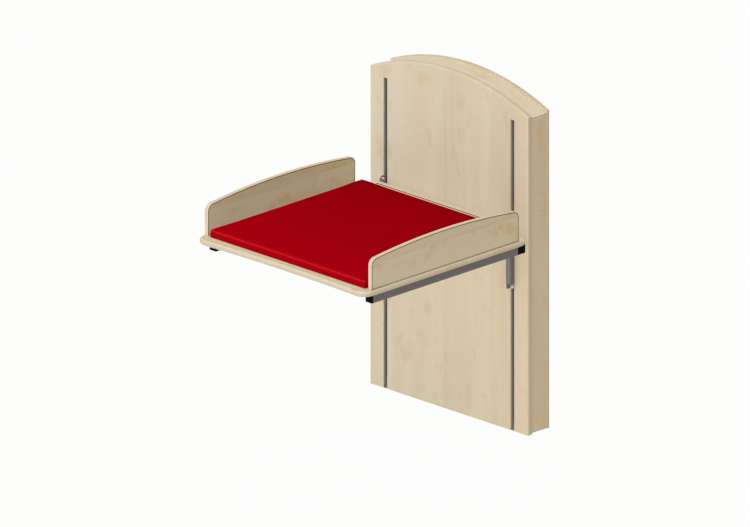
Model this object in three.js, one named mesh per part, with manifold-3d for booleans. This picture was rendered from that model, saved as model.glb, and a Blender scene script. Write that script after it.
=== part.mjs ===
// Wall-hung baby changing station with a table that slides up and down.
// Millimetres, +X to the user's right, +Y into the wall, +Z up.
// The model is drawn with Y = 0 on the housing's front face and Z = 0 at its foot, and the
// last group then moves it so that the origin lies on the wall at the upper fixing height.
import * as THREE from 'three';
import { mergeVertices } from 'three/addons/utils/BufferGeometryUtils.js';
import Module from 'manifold-3d';

const wasm = await Module();
wasm.setup();

// Fits
const SEAT = 0.3; // gap between pieces that rest on or are fixed to each other
const GLIDE_CLEARANCE = 0.4; // between a glide block and its rail
const BORE_CLEARANCE = 0.3; // round a bolt, in plates and rollers
const LANDING_GAP = 1; // left at each end of the travel

// Travel of the table from the height that is drawn
const TRAVEL_UP = 180;
const TRAVEL_DOWN = 220;

// Housing
const HOUSING_WIDTH = 800;
const HOUSING_SIDE_HEIGHT = 1206;
const ARCH_RISE = 83.5;
const HOUSING_DEPTH = 111;
const FRONT_PANEL_THICKNESS = 20;
const FRONT_PANEL_EDGE = 7; // radius of its front edges
const BACK_PANEL_THICKNESS = 10;
const BACK_PANEL_EDGE = 2;
const BACK_PANEL_INSET = 5; // on each side, from the front panel's outline
const SIDE_PANEL_THICKNESS = 16;
const SIDE_PANEL_INSET = 9.5;
const TOP_PANEL_THICKNESS = 12;
const TOP_PANEL_INSET = 14.5;
const BASE_BOARD_THICKNESS = 16;
const FOOT_INSET = 2; // everything behind the front panel stops this far above its foot
const BATTEN_HEIGHT = 90;
const BATTEN_THICKNESS = 18;
const FIXING_DROP = 121; // from the sides' top to the middle of the upper batten, and the origin
const LOWER_FIXING_HEIGHT = 135;

// Slots and guide rails
const SLOT_INSET = 79; // from the housing's side to the slot's middle
const SLOT_WIDTH = 18;
const SLOT_TOP_MARGIN = 28; // from the sides' top to the slot's end
const RAIL_WIDTH = 44;
const RAIL_DEPTH = 30;
const RAIL_WALL = 2.5;
const LINER_THICKNESS = 1.7;
const LINER_SETBACK = 6;
const END_STOP_LENGTH = 30;

// Table board
const BOARD_TOP = 760;
const BOARD_THICKNESS = 22;
const BOARD_EDGE = 10.5;
const BOARD_OVERHANG = 30; // past the housing on each side
const BOARD_DEPTH = 838;
const BOARD_REAR_GAP = 20; // from the housing to the board's rear edge
const BOARD_FRONT_RADIUS = 48;
const BOARD_REAR_RADIUS = 40;
const FRONT_HOLLOW = 11; // how far the front edge draws back at its middle

// Side guards and rear strip
const GUARD_THICKNESS = 17;
const GUARD_EDGE = 8;
const GUARD_INSET = 8;
const GUARD_LENGTH = 742;
const GUARD_REAR_SETBACK = 52;
const GUARD_HEIGHT = 139;
const GUARD_END_HEIGHT = 115;
const GUARD_CORNER_RADIUS = 28;
const STRIP_PLATE_LAP = 2; // how far the strip runs past the carriage plates
const STRIP_THICKNESS = 18;
const STRIP_EDGE = 8;
const STRIP_HEIGHT = 25;
const STRIP_REAR_SETBACK = 6;
const STRIP_CORNER_RADIUS = 10;

// Mat
const MAT_DEPTH = 766;
const MAT_SIDE_GAP = 11;
const MAT_REAR_GAP = 0.7;
const MAT_THICKNESS = 24;
const MAT_CROWN = 2;
const MAT_DRAWN_IN = 2;
const MAT_CORNER_RADIUS = 8;
const MAT_EDGE_RADIUS = 5;
const MAT_CROWN_RINGS = [0.25, 0.5, 0.75, 0.95]; // from the edge, 0, to the middle, 1

// Arms, posts and cross tube
const ARM_INSET = 35.5; // from the board's side to the arm's middle
const ARM_SIZE = 35;
const ARM_WALL = 2;
const ARM_CORNER_RADIUS = 4;
const ARM_FRONT_SETBACK = 59;
const ARM_REAR_SETBACK = 5;
const FRONT_CAP_LENGTH = 4.5;
const REAR_BLOCK_LENGTH = 37;
const SPIGOT_LENGTH = 18;
const POST_SIZE = 25;
const POST_WALL = 2;
const POST_CORNER_RADIUS = 4;
const POST_GAP = 2; // from the housing to the post's rear face

// Carriages
const PLATE_THICKNESS = 8;
const HOOK_HEIGHT = 50;
const HOOK_CHAMFER = 10;
const HOOK_BOLT_REACH = 14;
const HOOK_BOLT_DROP = 11; // from the top of the hook
const LUG_REACH = 28;
const LUG_DEPTH = 7; // below the roller axle
const AXLE_HEIGHT = 552.5;
const ROLLER_RADIUS = 9.5;
const ROLLER_WIDTH = 9;
const ROLLER_CHAMFER = 1;
const ROLLER_POST_GAP = 1;
const BOLT_RADIUS = 3;
const BOLT_HEAD_RADIUS = 7.5;
const BOLT_HEAD_HEIGHT = 5.5;
const GLIDE_LENGTH = 60;
const GLIDE_WEB = 8;
const GLIDE_OVERHANG = 2; // lower block below its plate

// Lift inside the housing
const BRIDGE_HEIGHT = 50;
const BRIDGE_DEPTH = 20;
const BRIDGE_WALL = 2.5;
const BRIDGE_RAIL_GAP = 3;
const BRIDGE_DROP = 2; // from the top of the hook
const GAS_SPACING = 280;
const GAS_RADIUS = 14;
const GAS_BORE_RADIUS = 12;
const GAS_FLOOR = 8;
const GAS_NECK = 12;
const ROD_RADIUS = 5;
const PISTON_LENGTH = 12;
const ROD_COLLAR_RADIUS = 9;
const ROD_COLLAR_LENGTH = 12;
const ROD_COLLAR_GAP = 3; // above the cylinder at the lowest height
const FOOT_RADIUS = 22;
const FOOT_THICKNESS = 6;
const FOOT_COLLAR_WALL = 3.2;
const FOOT_COLLAR_HEIGHT = 20;

// Facets
const PANEL_ARC_STEPS = 16;
const CORNER_STEPS = 6;
const EDGE_STEPS = 3;
const TUBE_CORNER_STEPS = 2;
const MAT_CORNER_STEPS = 3;
const MAT_SIDE_STEPS = 6;
const MAT_EDGE_STEPS = 3;
const TURNED_STEPS = 16;
const DOME_STEPS = 3;
const LEAST_FLAT = 0.5; // left on each side of a board's edge, between its two roundings
const WELD_DISTANCE = 1e-4;

// Places that several pieces share
const panelHalf = HOUSING_WIDTH / 2;
const archRadius = (panelHalf ** 2 + ARCH_RISE ** 2) / (2 * ARCH_RISE);
const archCentre = HOUSING_SIDE_HEIGHT + ARCH_RISE - archRadius;
const innerFront = FRONT_PANEL_THICKNESS + SEAT;
const innerBack = HOUSING_DEPTH - BACK_PANEL_THICKNESS - SEAT;
const sideOuter = panelHalf - SIDE_PANEL_INSET;
const sideInner = sideOuter - SIDE_PANEL_THICKNESS;
const baseTop = FOOT_INSET + BASE_BOARD_THICKNESS;

const fixingHeight = HOUSING_SIDE_HEIGHT - FIXING_DROP;

const slotX = panelHalf - SLOT_INSET;
const slotTop = HOUSING_SIDE_HEIGHT - SLOT_TOP_MARGIN;
const linerOuter = SLOT_WIDTH / 2 - SEAT;
const mouthHalf = linerOuter - LINER_THICKNESS;
const railHalf = RAIL_WIDTH / 2;
const railBack = innerFront + RAIL_DEPTH;
const glideFront = innerFront + RAIL_WALL + GLIDE_CLEARANCE;
const glideBack = railBack - RAIL_WALL - GLIDE_CLEARANCE;
const plateBack = glideBack - GLIDE_WEB - SEAT;

const boardBottom = BOARD_TOP - BOARD_THICKNESS;
const boardHalf = panelHalf + BOARD_OVERHANG;
const boardRear = -BOARD_REAR_GAP;
const boardFront = boardRear - BOARD_DEPTH;
const onBoard = BOARD_TOP + SEAT;
const underBoard = boardBottom - SEAT;
const guardOuter = boardHalf - GUARD_INSET;
const guardInner = guardOuter - GUARD_THICKNESS;
const guardRear = boardRear - GUARD_REAR_SETBACK;
const stripHalf = slotX + PLATE_THICKNESS / 2 + STRIP_PLATE_LAP;
const stripRear = boardRear - STRIP_REAR_SETBACK;
const stripFront = stripRear - STRIP_THICKNESS;
const matRear = stripFront - MAT_REAR_GAP;

const armX = boardHalf - ARM_INSET;
const armFront = boardFront + ARM_FRONT_SETBACK;
const armRear = boardRear - ARM_REAR_SETBACK;
const postFront = -POST_GAP - POST_SIZE;

const axleY = -(ROLLER_RADIUS + SEAT);
const postBottom = AXLE_HEIGHT + ROLLER_RADIUS + ROLLER_POST_GAP;
const plateBottom = AXLE_HEIGHT - LUG_DEPTH;
const hookTop = BOARD_TOP + HOOK_HEIGHT;
const hookFront = stripRear + SEAT;
const bridgeBottom = hookTop - BRIDGE_DROP - BRIDGE_HEIGHT;
const bridgeFront = railBack + BRIDGE_RAIL_GAP;
const bridgeBack = bridgeFront + BRIDGE_DEPTH;
const lowerGlideBottom = plateBottom - GLIDE_OVERHANG;
const upperGlideBottom = bridgeBottom - SEAT - GLIDE_LENGTH;

const gasX = GAS_SPACING / 2;
const gasY = (bridgeFront + bridgeBack) / 2;
const gasFoot = baseTop + SEAT;
const gasBottom = gasFoot + FOOT_THICKNESS + SEAT;
const gasTop = bridgeBottom - TRAVEL_DOWN - SEAT - ROD_COLLAR_LENGTH - ROD_COLLAR_GAP;
const rodTop = bridgeBottom - SEAT;
const pistonTop = gasTop - GAS_NECK - TRAVEL_UP - LANDING_GAP;

// Finishes
function finish(colour, roughness, metalness) {
  return () => new THREE.MeshStandardMaterial({ color: colour, roughness, metalness });
}
const maple = finish(0xd4c5ab, 0.45, 0);
const redCover = finish(0xa5000f, 0.5, 0);
const greySteel = finish(0x655e5e, 0.45, 0.6);
const zincSteel = finish(0x8a8886, 0.4, 0.9);
const chrome = finish(0xd0d0d4, 0.12, 1);
const blackPlastic = finish(0x111010, 0.5, 0);
const whitePlastic = finish(0xdcdad2, 0.5, 0);
const blackEnamel = finish(0x1a1a1a, 0.35, 0.3);
const blackRubber = finish(0x1c1b1b, 0.8, 0);

function piece(name, geometry, material, x = 0, y = 0, z = 0) {
  const mesh = new THREE.Mesh(geometry, material());
  mesh.name = name;
  mesh.position.set(x, y, z);
  return mesh;
}

// Joining and cutting of closed shapes
function toSolid(geometry) {
  const bare = geometry.clone();
  bare.deleteAttribute('normal');
  bare.deleteAttribute('uv');
  const merged = mergeVertices(bare, WELD_DISTANCE);
  return new wasm.Manifold(new wasm.Mesh({
    numProp: 3,
    vertProperties: new Float32Array(merged.attributes.position.array),
    triVerts: new Uint32Array(merged.index.array),
  }));
}

function toGeometry(solid) {
  const mesh = solid.getMesh();
  const geometry = new THREE.BufferGeometry();
  geometry.setAttribute('position', new THREE.BufferAttribute(mesh.vertProperties, 3));
  geometry.setIndex(new THREE.BufferAttribute(mesh.triVerts, 1));
  geometry.computeVertexNormals();
  return geometry;
}

function cut(geometry, ...tools) {
  return toGeometry(tools.reduce((solid, tool) => solid.subtract(toSolid(tool)), toSolid(geometry)));
}

function join(geometry, other) {
  return toGeometry(toSolid(geometry).add(toSolid(other)));
}

// Extrusions that run along one axis of the model
function along(axis, geometry) {
  if (axis === 'x') {
    const turn = new THREE.Matrix4().makeBasis(
      new THREE.Vector3(0, 1, 0), new THREE.Vector3(0, 0, 1), new THREE.Vector3(1, 0, 0));
    return geometry.applyMatrix4(turn);
  }
  if (axis === 'y') {
    const turn = new THREE.Matrix4().makeBasis(
      new THREE.Vector3(1, 0, 0), new THREE.Vector3(0, 0, 1), new THREE.Vector3(0, -1, 0));
    return geometry.applyMatrix4(turn);
  }
  return geometry;
}

function extrude(axis, shape, length, steps = CORNER_STEPS) {
  const options = { depth: length, bevelEnabled: false, curveSegments: steps };
  return along(axis, new THREE.ExtrudeGeometry(shape, options));
}

// A board with rounded edges all round. The radius is held back only by half the thickness.
function roundedBoard(axis, shape, thickness, edge, steps = CORNER_STEPS) {
  const radius = Math.min(edge, thickness / 2 - LEAST_FLAT);
  const geometry = new THREE.ExtrudeGeometry(shape, {
    depth: thickness - 2 * radius,
    bevelThickness: radius,
    bevelSize: radius,
    bevelOffset: -radius,
    bevelSegments: EDGE_STEPS,
    curveSegments: steps,
  });
  geometry.translate(0, 0, radius);
  return along(axis, geometry);
}

function box(low, high) {
  const size = high.map((value, i) => value - low[i]);
  const geometry = new THREE.BoxGeometry(...size);
  geometry.translate(...low.map((value, i) => value + size[i] / 2));
  return geometry;
}

function polygon(points) {
  return new THREE.Shape(points.map(([a, b]) => new THREE.Vector2(a, b)));
}

// A rectangle round the origin with rounded corners
function roundedRectangle(width, height, radius, path = new THREE.Shape()) {
  const a = width / 2 - radius;
  const b = height / 2 - radius;
  path.absarc(a, b, radius, 0, Math.PI / 2);
  path.absarc(-a, b, radius, Math.PI / 2, Math.PI);
  path.absarc(-a, -b, radius, Math.PI, 1.5 * Math.PI);
  path.absarc(a, -b, radius, 1.5 * Math.PI, 2 * Math.PI);
  path.closePath();
  return path;
}

function tubeSection(width, height, wall, radius) {
  const section = roundedRectangle(width, height, radius);
  const inner = Math.max(radius - wall, wall / 2);
  section.holes.push(roundedRectangle(width - 2 * wall, height - 2 * wall, inner, new THREE.Path()));
  return section;
}

// Angles from 0 to a quarter turn
function quarterTurn(steps) {
  return Array.from({ length: steps + 1 }, (_, i) => (i / steps) * (Math.PI / 2));
}

// Turned pieces. The profile is given as radius and distance along the axis.
function turned(axis, profile, steps = TURNED_STEPS) {
  const points = profile.map(([radius, distance]) => new THREE.Vector2(radius, distance));
  const geometry = new THREE.LatheGeometry(points, steps);
  if (axis === 'x') geometry.rotateZ(-Math.PI / 2);
  if (axis === 'z') geometry.rotateX(Math.PI / 2);
  return geometry;
}

// Housing boards: one arch circle for both panels
function archedOutline(half, foot) {
  const start = Math.acos(half / archRadius);
  const outline = new THREE.Shape();
  outline.moveTo(-half, foot);
  outline.lineTo(half, foot);
  outline.absarc(0, archCentre, archRadius, start, Math.PI - start);
  outline.closePath();
  return outline;
}

// Front panel: drawn deeper and longer than it is, so that the cuts leave its rear edges and its
// foot square. The two slots run out at the foot.
function frontPanel() {
  const deep = 2 * FRONT_PANEL_THICKNESS;
  const outline = archedOutline(panelHalf, -FRONT_PANEL_THICKNESS);
  const board = roundedBoard('y', outline, deep, FRONT_PANEL_EDGE, PANEL_ARC_STEPS);
  board.translate(0, deep, 0);
  const rear = box(
    [-HOUSING_WIDTH, FRONT_PANEL_THICKNESS, -deep], [HOUSING_WIDTH, 2 * deep, 2 * HOUSING_SIDE_HEIGHT]);
  const foot = box([-HOUSING_WIDTH, -deep, -deep], [HOUSING_WIDTH, 2 * deep, 0]);
  const slots = [-slotX, slotX].map((x) => box(
    [x - SLOT_WIDTH / 2, -deep, -deep], [x + SLOT_WIDTH / 2, 2 * deep, slotTop]));
  return cut(board, rear, foot, ...slots);
}

function backPanel() {
  const outline = archedOutline(panelHalf - BACK_PANEL_INSET, FOOT_INSET);
  const board = roundedBoard('y', outline, BACK_PANEL_THICKNESS, BACK_PANEL_EDGE, PANEL_ARC_STEPS);
  board.translate(0, HOUSING_DEPTH, 0);
  return board;
}

// The bent board under the arch, cut off flush with the side panels
function topPanel() {
  const outer = archRadius - TOP_PANEL_INSET;
  const inner = outer - TOP_PANEL_THICKNESS;
  const outerStart = Math.acos(sideOuter / outer);
  const innerStart = Math.acos(sideOuter / inner);
  const outline = new THREE.Shape();
  outline.absarc(0, archCentre, outer, outerStart, Math.PI - outerStart);
  outline.absarc(0, archCentre, inner, Math.PI - innerStart, innerStart, true);
  outline.closePath();
  const board = extrude('y', outline, innerBack - innerFront, PANEL_ARC_STEPS);
  board.translate(0, innerBack, 0);
  return board;
}

function sidePanel(sign) {
  const underside = archRadius - TOP_PANEL_INSET - TOP_PANEL_THICKNESS;
  const top = archCentre + Math.sqrt(underside ** 2 - sideOuter ** 2) - SEAT;
  const [low, high] = sign < 0 ? [-sideOuter, -sideInner] : [sideInner, sideOuter];
  return box([low, innerFront, FOOT_INSET], [high, innerBack, top]);
}

function baseBoard() {
  const half = slotX - railHalf - SEAT;
  return box([-half, innerFront, FOOT_INSET], [half, innerBack, baseTop]);
}

function wallBatten(middle) {
  const half = sideInner - SEAT;
  const front = innerBack - BATTEN_THICKNESS;
  return box([-half, front, middle - BATTEN_HEIGHT / 2], [half, innerBack, middle + BATTEN_HEIGHT / 2]);
}

// One half of a guide rail: a channel that opens towards the slot's middle, with a front
// flange that lines the slot
function railHalfProfile(sign) {
  const points = [
    [mouthHalf, LINER_SETBACK],
    [linerOuter, LINER_SETBACK],
    [linerOuter, innerFront],
    [railHalf, innerFront],
    [railHalf, railBack],
    [mouthHalf, railBack],
    [mouthHalf, railBack - RAIL_WALL],
    [railHalf - RAIL_WALL, railBack - RAIL_WALL],
    [railHalf - RAIL_WALL, innerFront + RAIL_WALL],
    [mouthHalf, innerFront + RAIL_WALL],
  ];
  return polygon(points.map(([across, depth]) => [sign * across, depth]));
}

function guideRail(sign) {
  const rail = extrude('z', railHalfProfile(sign), slotTop - SEAT - FOOT_INSET);
  rail.translate(0, 0, FOOT_INSET);
  return rail;
}

function endStop() {
  const half = railHalf - RAIL_WALL - SEAT;
  const top = lowerGlideBottom - TRAVEL_DOWN - LANDING_GAP;
  return box(
    [-half, innerFront + RAIL_WALL + SEAT, top - END_STOP_LENGTH],
    [half, railBack - RAIL_WALL - SEAT, top]);
}

// Gas springs
function gasFootCup() {
  const bore = GAS_RADIUS + SEAT;
  const wall = bore + FOOT_COLLAR_WALL;
  const top = FOOT_THICKNESS + FOOT_COLLAR_HEIGHT;
  return turned('z', [
    [0, 0], [FOOT_RADIUS, 0], [FOOT_RADIUS, FOOT_THICKNESS], [wall, FOOT_THICKNESS],
    [wall, top], [bore, top], [bore, FOOT_THICKNESS], [0, FOOT_THICKNESS],
  ]);
}

function gasCylinder() {
  const length = gasTop - gasBottom;
  const neck = ROD_RADIUS + BORE_CLEARANCE;
  return turned('z', [
    [0, 0], [GAS_RADIUS, 0], [GAS_RADIUS, length], [neck, length], [neck, length - GAS_NECK],
    [GAS_BORE_RADIUS, length - GAS_NECK], [GAS_BORE_RADIUS, GAS_FLOOR], [0, GAS_FLOOR],
  ]);
}

function gasRod() {
  const piston = GAS_BORE_RADIUS - BORE_CLEARANCE;
  const bottom = pistonTop - PISTON_LENGTH;
  const length = rodTop - bottom;
  return turned('z', [
    [0, 0], [piston, 0], [piston, PISTON_LENGTH], [ROD_RADIUS, PISTON_LENGTH],
    [ROD_RADIUS, length - ROD_COLLAR_LENGTH], [ROD_COLLAR_RADIUS, length - ROD_COLLAR_LENGTH],
    [ROD_COLLAR_RADIUS, length], [0, length],
  ]);
}

// Table board: round corners, and a front edge that is one shallow hollow arc
function boardOutline() {
  const chord = boardHalf - BOARD_FRONT_RADIUS;
  const hollowRadius = (chord ** 2 + FRONT_HOLLOW ** 2) / (2 * FRONT_HOLLOW);
  const hollowCentre = boardFront + FRONT_HOLLOW - hollowRadius;
  const start = Math.atan2(boardFront - hollowCentre, chord);
  const rear = boardHalf - BOARD_REAR_RADIUS;
  const outline = new THREE.Shape();
  outline.absarc(rear, boardRear - BOARD_REAR_RADIUS, BOARD_REAR_RADIUS, Math.PI / 2, 0, true);
  outline.absarc(chord, boardFront + BOARD_FRONT_RADIUS, BOARD_FRONT_RADIUS, 0, -Math.PI / 2, true);
  outline.absarc(0, hollowCentre, hollowRadius, start, Math.PI - start);
  outline.absarc(-chord, boardFront + BOARD_FRONT_RADIUS, BOARD_FRONT_RADIUS, -Math.PI / 2, -Math.PI, true);
  outline.absarc(-rear, boardRear - BOARD_REAR_RADIUS, BOARD_REAR_RADIUS, Math.PI, Math.PI / 2, true);
  outline.closePath();
  return outline;
}

function tableBoard() {
  const board = roundedBoard('z', boardOutline(), BOARD_THICKNESS, BOARD_EDGE);
  board.translate(0, 0, boardBottom);
  return board;
}

// Side guard: the two top corners run smoothly into one shallow arch. The foot is cut square.
function guard() {
  const half = GUARD_LENGTH / 2;
  const rise = GUARD_HEIGHT - GUARD_END_HEIGHT;
  const radius = (half ** 2 + rise ** 2) / (2 * rise);
  const centre = GUARD_HEIGHT - radius;
  const corner = half - GUARD_CORNER_RADIUS;
  const cornerCentre = centre + Math.sqrt((radius - GUARD_CORNER_RADIUS) ** 2 - corner ** 2);
  const meet = Math.atan2(cornerCentre - centre, corner);
  const outline = new THREE.Shape();
  outline.moveTo(-half, -GUARD_THICKNESS);
  outline.lineTo(half, -GUARD_THICKNESS);
  outline.absarc(corner, cornerCentre, GUARD_CORNER_RADIUS, 0, meet);
  outline.absarc(0, centre, radius, meet, Math.PI - meet);
  outline.absarc(-corner, cornerCentre, GUARD_CORNER_RADIUS, Math.PI - meet, Math.PI);
  outline.closePath();
  const board = roundedBoard('x', outline, GUARD_THICKNESS, GUARD_EDGE);
  const foot = box(
    [-GUARD_THICKNESS, -GUARD_LENGTH, -2 * GUARD_THICKNESS], [2 * GUARD_THICKNESS, GUARD_LENGTH, 0]);
  return cut(board, foot);
}

function rearStrip() {
  const corner = stripHalf - STRIP_CORNER_RADIUS;
  const cornerCentre = STRIP_HEIGHT - STRIP_CORNER_RADIUS;
  const outline = new THREE.Shape();
  outline.moveTo(-stripHalf, -STRIP_THICKNESS);
  outline.lineTo(stripHalf, -STRIP_THICKNESS);
  outline.absarc(corner, cornerCentre, STRIP_CORNER_RADIUS, 0, Math.PI / 2);
  outline.absarc(-corner, cornerCentre, STRIP_CORNER_RADIUS, Math.PI / 2, Math.PI);
  outline.closePath();
  const board = roundedBoard('y', outline, STRIP_THICKNESS, STRIP_EDGE);
  const foot = box(
    [-2 * stripHalf, -2 * STRIP_THICKNESS, -2 * STRIP_THICKNESS], [2 * stripHalf, STRIP_THICKNESS, 0]);
  return cut(board, foot);
}

// Mat: rings of one outline, stacked from the underside over a rounded edge to the crown.
// The outline is a rounded rectangle whose sides draw in between the corners, so each straight
// side is split into steps.
function matRing(halfWidth, halfDepth, radius, height) {
  const outline = roundedRectangle(2 * halfWidth, 2 * halfDepth, radius);
  const corners = outline.getPoints(MAT_CORNER_STEPS).slice(0, -1);
  const points = corners.flatMap((corner, i) => {
    const endsCorner = i % (MAT_CORNER_STEPS + 1) === MAT_CORNER_STEPS;
    const next = corners[(i + 1) % corners.length];
    const steps = endsCorner ? MAT_SIDE_STEPS : 1;
    return Array.from({ length: steps }, (_, step) => corner.clone().lerp(next, step / steps));
  });
  return points.map(({ x, y }) => {
    const alongX = Math.max(0, 1 - (x / halfWidth) ** 2);
    const alongY = Math.max(0, 1 - (y / halfDepth) ** 2);
    const pulledX = x * (1 - (MAT_DRAWN_IN / halfWidth) * alongY);
    const pulledY = y * (1 - (MAT_DRAWN_IN / halfDepth) * alongX);
    return [pulledX, pulledY, height];
  });
}

function changingMat() {
  const halfWidth = guardInner - MAT_SIDE_GAP;
  const halfDepth = MAT_DEPTH / 2;
  const lower = quarterTurn(MAT_EDGE_STEPS).map((t) => [
    MAT_EDGE_RADIUS * (1 - Math.sin(t)),
    MAT_EDGE_RADIUS * (1 - Math.cos(t)),
  ]);
  const upper = lower.map(([inset, height]) => [inset, MAT_THICKNESS - height]).reverse();
  const crown = MAT_CROWN_RINGS.map((t) => [
    MAT_EDGE_RADIUS + t * (Math.min(halfWidth, halfDepth) - MAT_EDGE_RADIUS),
    MAT_THICKNESS + MAT_CROWN * Math.sin(t * Math.PI / 2),
  ]);
  const rings = [...lower, ...upper, ...crown].map(([inset, height]) => {
    const width = halfWidth - inset;
    const depth = halfDepth - inset;
    return matRing(width, depth, Math.min(MAT_CORNER_RADIUS, width / 2, depth / 2), height);
  });
  return loft(rings);
}

// A closed skin over rings of equal count, with a fan at each end
function loft(rings) {
  const count = rings[0].length;
  const middle = (ring) => [0, 1, 2].map((axis) => ring.reduce((sum, p) => sum + p[axis], 0) / count);
  const vertices = [...rings.flat(), middle(rings[0]), middle(rings.at(-1))];
  const bottom = vertices.length - 2;
  const top = vertices.length - 1;
  const lastRing = (rings.length - 1) * count;
  const faces = [];
  for (let i = 0; i < count; i += 1) {
    const next = (i + 1) % count;
    faces.push(bottom, next, i);
    faces.push(top, lastRing + i, lastRing + next);
    for (let row = 0; row < lastRing; row += count) {
      faces.push(row + i, row + next, row + count + i);
      faces.push(row + next, row + count + next, row + count + i);
    }
  }
  const geometry = new THREE.BufferGeometry();
  geometry.setAttribute('position', new THREE.Float32BufferAttribute(vertices.flat(), 3));
  geometry.setIndex(faces);
  geometry.computeVertexNormals();
  return geometry;
}

// Arms: square tubes with a plug at each end
function squareTube(axis, length) {
  const section = tubeSection(ARM_SIZE, ARM_SIZE, ARM_WALL, ARM_CORNER_RADIUS);
  return extrude(axis, section, length, TUBE_CORNER_STEPS);
}

function tubePlug(headLength, spigotStart) {
  const section = roundedRectangle(ARM_SIZE, ARM_SIZE, ARM_CORNER_RADIUS);
  const head = extrude('y', section, headLength, TUBE_CORNER_STEPS);
  const bore = ARM_SIZE - 2 * ARM_WALL - 2 * SEAT;
  const radius = Math.max(ARM_CORNER_RADIUS - ARM_WALL, ARM_WALL / 2);
  const spigot = extrude('y', roundedRectangle(bore, bore, radius), SPIGOT_LENGTH, TUBE_CORNER_STEPS);
  spigot.translate(0, spigotStart, 0);
  return join(head, spigot);
}

function addArm(table, side, sign) {
  const steelFront = armFront + FRONT_CAP_LENGTH + SEAT;
  const steelRear = armRear - REAR_BLOCK_LENGTH - SEAT;
  const arm = new THREE.Group();
  arm.position.set(sign * armX, 0, underBoard - ARM_SIZE / 2);
  arm.add(piece(`arm_${side}`, squareTube('y', steelRear - steelFront), greySteel, 0, steelRear));
  const capOverlap = FRONT_CAP_LENGTH / 2;
  const cap = tubePlug(FRONT_CAP_LENGTH, SPIGOT_LENGTH - capOverlap);
  arm.add(piece(`arm_front_cap_${side}`, cap, blackPlastic, 0, armFront + FRONT_CAP_LENGTH));
  const block = tubePlug(REAR_BLOCK_LENGTH, capOverlap - REAR_BLOCK_LENGTH);
  arm.add(piece(`arm_rear_block_${side}`, block, blackPlastic, 0, armRear));
  table.add(arm);
}

function rearCrossTube() {
  const half = armX - ARM_SIZE / 2 - SEAT;
  const tube = squareTube('x', 2 * half);
  tube.translate(-half, postFront - SEAT - ARM_SIZE / 2, underBoard - ARM_SIZE / 2);
  return tube;
}

// Carriage: the plate passes through the slot. Its lug carries the post and the rollers, its
// hook reaches over the board, and its rear ear holds the bridge.
function carriagePlate() {
  const postSeat = postBottom - SEAT;
  const edge = -(POST_GAP - SEAT);
  const outline = polygon([
    [plateBack, plateBottom],
    [-LUG_REACH, plateBottom],
    [-LUG_REACH, postSeat],
    [edge, postSeat],
    [edge, onBoard],
    [hookFront, onBoard],
    [hookFront, hookTop - HOOK_CHAMFER],
    [hookFront + HOOK_CHAMFER, hookTop],
    [bridgeBack, hookTop],
    [bridgeBack, bridgeBottom],
    [plateBack, bridgeBottom],
  ]);
  const hole = BOLT_RADIUS + BORE_CLEARANCE;
  const axleHole = new THREE.Path().absarc(axleY, AXLE_HEIGHT, hole, 0, 2 * Math.PI);
  const boltHole = new THREE.Path().absarc(-HOOK_BOLT_REACH, hookTop - HOOK_BOLT_DROP, hole, 0, 2 * Math.PI);
  outline.holes.push(axleHole, boltHole);
  const plate = extrude('x', outline, PLATE_THICKNESS);
  plate.translate(-PLATE_THICKNESS / 2, 0, 0);
  return plate;
}

function carriagePost() {
  const section = tubeSection(POST_SIZE, POST_SIZE, POST_WALL, POST_CORNER_RADIUS);
  const post = extrude('z', section, underBoard - postBottom, TUBE_CORNER_STEPS);
  post.translate(0, -POST_GAP - POST_SIZE / 2, postBottom);
  return post;
}

function glideBlock() {
  const half = railHalf - RAIL_WALL - GLIDE_CLEARANCE;
  const groove = PLATE_THICKNESS / 2 + SEAT;
  const bottom = plateBack + SEAT;
  return extrude('z', polygon([
    [-half, glideFront], [-groove, glideFront], [-groove, bottom], [groove, bottom],
    [groove, glideFront], [half, glideFront], [half, glideBack], [-half, glideBack],
  ]), GLIDE_LENGTH);
}

// A bolt with a domed head at each end of its grip
function domedBolt(grip) {
  const half = grip / 2;
  const dome = quarterTurn(DOME_STEPS).map((t) => [
    BOLT_HEAD_RADIUS * Math.sin(t),
    half + BOLT_HEAD_HEIGHT * Math.cos(t),
  ]);
  const upper = [...dome, [BOLT_RADIUS, half]];
  const lower = upper.map(([radius, distance]) => [radius, -distance]);
  return turned('x', [...lower, ...upper.reverse()]);
}

function guideRoller() {
  const bore = BOLT_RADIUS + BORE_CLEARANCE;
  const half = ROLLER_WIDTH / 2;
  const rim = ROLLER_RADIUS - ROLLER_CHAMFER;
  const flat = half - ROLLER_CHAMFER;
  return turned('x', [
    [bore, -half], [rim, -half], [ROLLER_RADIUS, -flat], [ROLLER_RADIUS, flat],
    [rim, half], [bore, half], [bore, -half],
  ]);
}

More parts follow.
